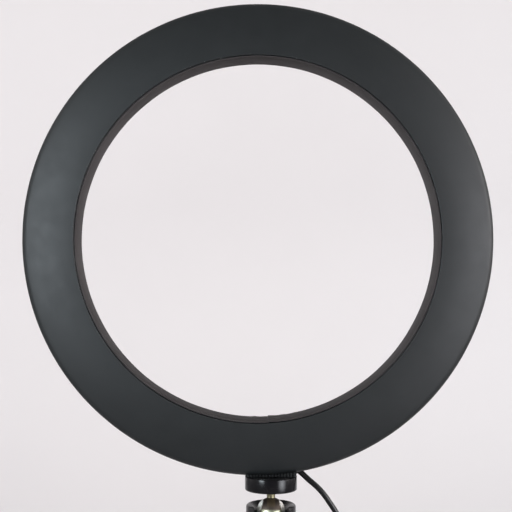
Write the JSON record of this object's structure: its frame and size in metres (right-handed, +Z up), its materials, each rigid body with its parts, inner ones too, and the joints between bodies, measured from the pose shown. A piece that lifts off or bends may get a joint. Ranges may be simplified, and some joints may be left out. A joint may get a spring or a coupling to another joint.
{
  "type": "ring light",
  "caption": "Round LED ring light on a mini ball head with a locking disc, with a USB cable, inline controller and plug.",
  "frame": {"origin": "centre of the ball head's base face, where a stand's 1/4-inch stud screws in", "axes": "+X to the right seen from behind, +Y towards the lit side, +Z up"},
  "size_m": [0.26, 0.0409, 0.512],
  "materials": {
    "cover_black": "fine textured matte",
    "liner_black": "matte strip",
    "housing_black": "satin",
    "diffuser_white": "milky translucent",
    "board_white": "white solder mask",
    "chip_warm": "phosphor on a white strip",
    "chip_cool": "phosphor on a white strip",
    "steel": "plated",
    "brass": "turned",
    "chrome": "polished",
    "gloss_black": "gloss anodised",
    "knob_black": "gloss moulded",
    "rubber": "matte",
    "nylon": "natural",
    "cable_black": "smooth glossy jacket",
    "wire_red": "insulation",
    "wire_white": "insulation and plug tongue",
    "strap_black": "hook and loop tape",
    "board_green": "solder mask"
  },
  "bodies": {
    "base": {"socket_housing": "gloss_black", "ball_seat": "nylon", "base_insert": "steel"},
    "ball": {"ball": "chrome"},
    "stud": {"stud": "chrome"},
    "disc_carrier": {"disc_insert": "brass"},
    "lock_disc": {"lock_disc": "gloss_black", "disc_pad": "rubber"},
    "ring_head": {"back_cover": "cover_black", "front_housing": "housing_black", "inner_band": "liner_black", "diffuser": "diffuser_white", "led_board": "board_white", "led_strip_warm": "chip_warm", "led_strip_cool": "chip_cool", "board_screw_1": "steel", "board_screw_2": "steel", "board_screw_3": "steel", "board_screw_4": "steel", "board_screw_5": "steel", "board_screw_6": "steel", "mount_block": "housing_black", "mount_insert": "brass", "cable_grommet": "rubber", "lead_wire_common": "cable_black", "lead_wire_warm": "wire_red", "lead_wire_cool": "wire_white", "cable_lead": "cable_black", "cable_tail": "cable_black", "cable_coil": "cable_black", "cable_end": "cable_black", "sleeve_upper": "rubber", "sleeve_lower": "rubber", "controller_shell_front": "housing_black", "controller_shell_back": "housing_black", "controller_board": "board_green", "coil_tie": "strap_black", "usb_plug_body": "knob_black", "usb_plug_shell": "steel", "usb_plug_tongue": "wire_white"},
    "brake": {"brake_shoe": "nylon"},
    "knob": {"lock_knob": "knob_black", "lock_screw": "steel"},
    "button_power": {"button_power": "rubber"},
    "button_mode": {"button_mode": "rubber"},
    "button_brighter": {"button_brighter": "rubber"},
    "button_dimmer": {"button_dimmer": "rubber"}
  },
  "joints": [
    {"name": "head_roll", "type": "hinge", "parent": "base", "child": "ball", "pos_m": [0, 0, 0.03], "axis": [0, 1, 0], "range_deg": [-30, 30]},
    {"name": "head_tilt", "type": "hinge", "parent": "ball", "child": "stud", "pos_m": [0, 0, 0.03], "axis": [1, 0, 0], "range_deg": [-30, 90]},
    {"name": "head_pan", "type": "hinge", "parent": "stud", "child": "ring_head", "pos_m": [0, 0, 0.05], "axis": [0, 0, 1], "range_deg": [-180, 180]},
    {"name": "disc_travel", "type": "slide", "parent": "stud", "child": "disc_carrier", "axis": [0, 0, -1], "range_m": [0, 0.00064]},
    {"name": "disc_spin", "type": "hinge", "parent": "disc_carrier", "child": "lock_disc", "pos_m": [0, 0, 0.046], "axis": [0, 0, -1], "range_deg": [0, 180]},
    {"name": "brake_travel", "type": "slide", "parent": "base", "child": "brake", "axis": [0, 1, 0], "range_m": [0, 0.00041]},
    {"name": "knob_turn", "type": "hinge", "parent": "brake", "child": "knob", "pos_m": [0, 0.02, 0.024], "axis": [0, 1, 0], "range_deg": [0, 180]},
    {"name": "press_power", "type": "slide", "parent": "ring_head", "child": "button_power", "axis": [0, 1, 0], "range_m": [0, 0.0006], "stiffness_N_per_m": 300},
    {"name": "press_mode", "type": "slide", "parent": "ring_head", "child": "button_mode", "axis": [0, 1, 0], "range_m": [0, 0.0006], "stiffness_N_per_m": 300},
    {"name": "press_brighter", "type": "slide", "parent": "ring_head", "child": "button_brighter", "axis": [0, 1, 0], "range_m": [0, 0.0006], "stiffness_N_per_m": 300},
    {"name": "press_dimmer", "type": "slide", "parent": "ring_head", "child": "button_dimmer", "axis": [0, 1, 0], "range_m": [0, 0.0006], "stiffness_N_per_m": 300}
  ],
  "couplings": [
    {"joint": "disc_travel", "follows": "disc_spin", "m_per_rad": 0.00020213},
    {"joint": "brake_travel", "follows": "knob_turn", "m_per_rad": 0.00012732}
  ]
}
